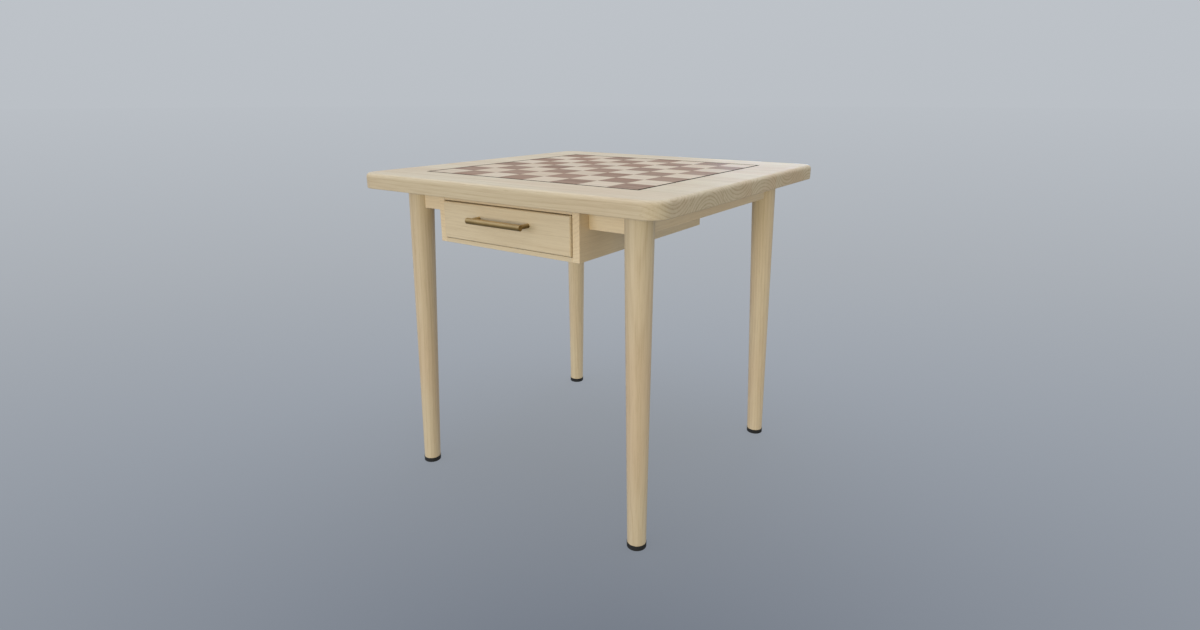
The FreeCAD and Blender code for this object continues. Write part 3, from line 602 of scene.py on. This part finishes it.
def threaded_bolt(x, y):
    """One bolt's points and faces: rings of points round its line, and a cap at each end."""
    low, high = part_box("hanger_bolts")
    crest, height = (high.z - low.z) / 2, (high.z + low.z) / 2
    inwards, start, end = bolt_span(x, y)
    sideways = inwards.cross(ALONG_Z)
    pitch_step = THREAD_PITCH / THREAD_STEPS
    thread = [end - step * pitch_step for step in range(round(THREAD_LENGTH / pitch_step) + 1)]
    marks = [start] + thread[::-1]
    points = []
    for mark in marks:
        for side in range(THREAD_SIDES):
            turn = side / THREAD_SIDES
            angle = 2 * math.pi * turn
            out = sideways * math.cos(angle) + ALONG_Z * math.sin(angle)
            radius = thread_radius(crest, mark, turn, end)
            points.append(inwards * mark + ALONG_Z * height + out * radius)
    faces = []
    last = (len(marks) - 1) * THREAD_SIDES
    for ring in range(0, last, THREAD_SIDES):
        for side in range(THREAD_SIDES):
            here, beside = ring + side, ring + (side + 1) % THREAD_SIDES
            faces.append((here, beside, beside + THREAD_SIDES, here + THREAD_SIDES))
    faces.append(tuple(reversed(range(THREAD_SIDES))))
    faces.append(tuple(range(last, last + THREAD_SIDES)))
    return points, faces


def threaded_bolts():
    """The four hanger bolts with their threads, in place of the plain ones."""
    name = "hanger_bolt_threads"
    points, faces = [], []
    for x, y in CORNERS.values():
        more_points, more_faces = threaded_bolt(x, y)
        faces += [tuple(index + len(points) for index in face) for face in more_faces]
        points += more_points
    mesh = bpy.data.meshes.new(name)
    mesh.from_pydata(points, [], faces)
    mesh.materials.append(zinc(name))
    piece = bpy.data.objects.new(name, mesh)
    bpy.context.scene.collection.objects.link(piece)
    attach(piece, "table")
    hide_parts("hanger_bolts")


# The camera and the studio

def stand(name, data, place, direction):
    """Stands a camera or a light at a place, turned towards a direction."""
    stood = bpy.data.objects.new(name, data)
    stood.location = place
    stood.rotation_mode = "QUATERNION"
    stood.rotation_quaternion = direction.to_track_quat("-Z", "Y")
    bpy.context.scene.collection.objects.link(stood)
    return stood


def camera():
    """The photograph's camera."""
    data = bpy.data.cameras.new("camera")
    data.lens = LENS_MM
    data.sensor_width = SENSOR_MM
    rise, flat = math.sin(CAMERA_ELEVATION), math.cos(CAMERA_ELEVATION)
    back = Vector((math.sin(CAMERA_AZIMUTH) * flat, -math.cos(CAMERA_AZIMUTH) * flat, rise))
    place = CAMERA_AIM + back * CAMERA_DISTANCE
    bpy.context.scene.camera = stand("camera", data, place, -back)


def softbox(name, place, aim, size, power, tint):
    """A studio light that shines on the table and doesn't show itself."""
    data = bpy.data.lights.new(name, "AREA")
    data.shape = "RECTANGLE"
    data.size, data.size_y = size
    data.energy = power
    data.color = tint
    light = stand(name, data, place, Vector(aim) - Vector(place))
    light.visible_camera = False


def backdrop():
    """A pale sky that brightens overhead."""
    world = bpy.data.worlds.new("studio")
    bpy.context.scene.world = world
    world.use_nodes = True
    tree = world.node_tree
    where = tree.nodes.new("ShaderNodeTexCoord")
    split = tree.nodes.new("ShaderNodeSeparateXYZ")
    ramp = tree.nodes.new("ShaderNodeValToRGB")
    set_stops(ramp.color_ramp, SKY)
    tree.links.new(where.outputs["Generated"], split.inputs[0])
    tree.links.new(split.outputs["Z"], ramp.inputs["Fac"])
    tree.links.new(ramp.outputs["Color"], tree.nodes["Background"].inputs["Color"])


def floor():
    """A pale floor that fades into the backdrop, and that a camera below it sees through."""
    graph = Graph("floor")
    place = graph.place()
    beside = Vector((math.cos(FLOOR_TURN), math.sin(FLOOR_TURN), 0))
    beyond = ALONG_Z.cross(beside)
    off = graph.minus(graph.dot(place, beside), FLOOR_DARKEST.dot(beside))
    out = graph.minus(graph.dot(place, beyond), FLOOR_DARKEST.dot(beyond))
    reach = graph.vector(graph.times(off, FLOOR_SQUEEZE), out, FLOOR_SOFTNESS)
    distance = graph.add("VectorMath", {0: reach}, output="Value", operation="LENGTH")
    nearness = graph.math("DIVIDE", 1.0, graph.math("ADD", 1.0, distance))
    # The near colour is the painted shade of the dark pool
    tint = graph.mix(nearness, FLOOR_FAR, FLOOR_NEAR)
    glow = graph.add("Emission", {"Color": tint})
    matt = graph.add("BsdfDiffuse", {"Color": tint})
    share = graph.step(distance, *FLOOR_FADE, FLOOR_GLOW, 1.0)
    faded = graph.add("MixShader", {0: share, 1: matt, 2: glow})
    below = graph.add("NewGeometry", {}, output="Backfacing")
    seen = graph.add("MixShader", {0: below, 1: faded, 2: graph.add("BsdfTransparent", {})})
    graph.put(graph.tree.nodes["Material Output"].inputs["Surface"], seen)
    bpy.ops.mesh.primitive_circle_add(
        vertices=FLOOR_SIDES, radius=FLOOR_RADIUS, fill_type="NGON", location=(0, 0, -FLOOR_DROP),
    )
    disc = bpy.context.object
    disc.name = "studio_floor"
    disc.data.materials.append(graph.material)


def studio():
    backdrop()
    floor()
    for name, settings in LIGHTS.items():
        softbox(name, *settings)


# Dress every node

def dress_top():
    square = 2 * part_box("light_squares")[1].x / SQUARES_PER_SIDE
    dress("tabletop", laid("tabletop", ASH, STAVE_WIDTH, STAVE_SHIFT, sides=TOP_EDGE_PAINTED_SHADE))
    dress("light_squares", laid("light_squares", MAPLE, square, length=square))
    dress("dark_squares", laid("dark_squares", WALNUT, square, length=square))
    borders = {"front": ALONG_X, "right": ALONG_Y, "back": ALONG_X, "left": ALONG_Y}
    for side, grain in borders.items():
        dress("border_" + side, plank("border_" + side, WENGE, grain))
    dress("board_backing", plywood("board_backing", BIRCH, BACKING_PLIES))
    dress("tabletop_buttons", plank("tabletop_buttons", BEECH, ALONG_X))


def dress_legs():
    """Legs, with their grain along their lean, corner blocks and glides."""
    lean = math.tan(LEG_SPLAY)
    for name, (x, y) in CORNERS.items():
        turn = random.Random("log of " + name).uniform(0, 2 * math.pi)
        heart = (LEG_HEART * math.cos(turn), LEG_HEART * math.sin(turn))
        bright = BACK_LEG_PAINTED_LIGHT if y > 0 else 1.0
        grain = Vector((-x * lean, -y * lean, 1))
        dress("leg_" + name, plank("leg_" + name, ASH, grain, heart, bright))
        dress("corner_block_" + name, plank("corner_block_" + name, BEECH, Vector((x, -y, 0))))
        dress("glide_" + name, rubber("glide_" + name))


def dress_boards():
    """Aprons, drawer box and drawer. Each wood's boards are given with their grain."""
    ash = {
        "apron_back": ALONG_X, "apron_front_left": ALONG_X, "apron_front_right": ALONG_X,
        "apron_left": ALONG_Y, "apron_right": ALONG_Y,
        "housing_side_left": ALONG_Y, "housing_side_right": ALONG_Y,
        "housing_bottom": ALONG_X, "housing_back": ALONG_X,
        "housing_rail_front": ALONG_X, "housing_rail_back": ALONG_X, "drawer_front": ALONG_X,
    }
    birch = {
        "drawer_box_front": ALONG_X, "drawer_back": ALONG_X,
        "drawer_side_left": ALONG_Y, "drawer_side_right": ALONG_Y,
    }
    beech = {
        "runner_left": ALONG_Y, "runner_right": ALONG_Y,
        "housing_dowels": ALONG_X, "drawer_stop_pins": ALONG_Z,
    }
    for look, boards in ((PLAIN_ASH, ash), (BIRCH, birch), (BEECH, beech)):
        for name, grain in boards.items():
            kind = name.rpartition("_")[0]
            dress(name, plank(name, look, grain, bright=BOARD_PAINTED_LIGHT.get(kind, 1.0)))
    dress("drawer_bottom", plywood("drawer_bottom", BIRCH, DRAWER_BOTTOM_PLIES))


def dress_metal():
    dress("handle_bar", bronze("handle_bar", ALONG_X))
    for name in ("handle_post_left", "handle_post_right"):
        dress(name, bronze(name, ALONG_Y, POST_PAINTED_SHADE))
    for name in NODES:
        if name.endswith("screws") or name in ("hanger_washers", "hanger_nuts"):
            dress(name, zinc(name))


camera()
studio()
dress_top()
dress_legs()
threaded_bolts()
dress_boards()
dress_metal()

# The colours come out as they are set, with no film curve over them
bpy.context.scene.view_settings.view_transform = "Standard"
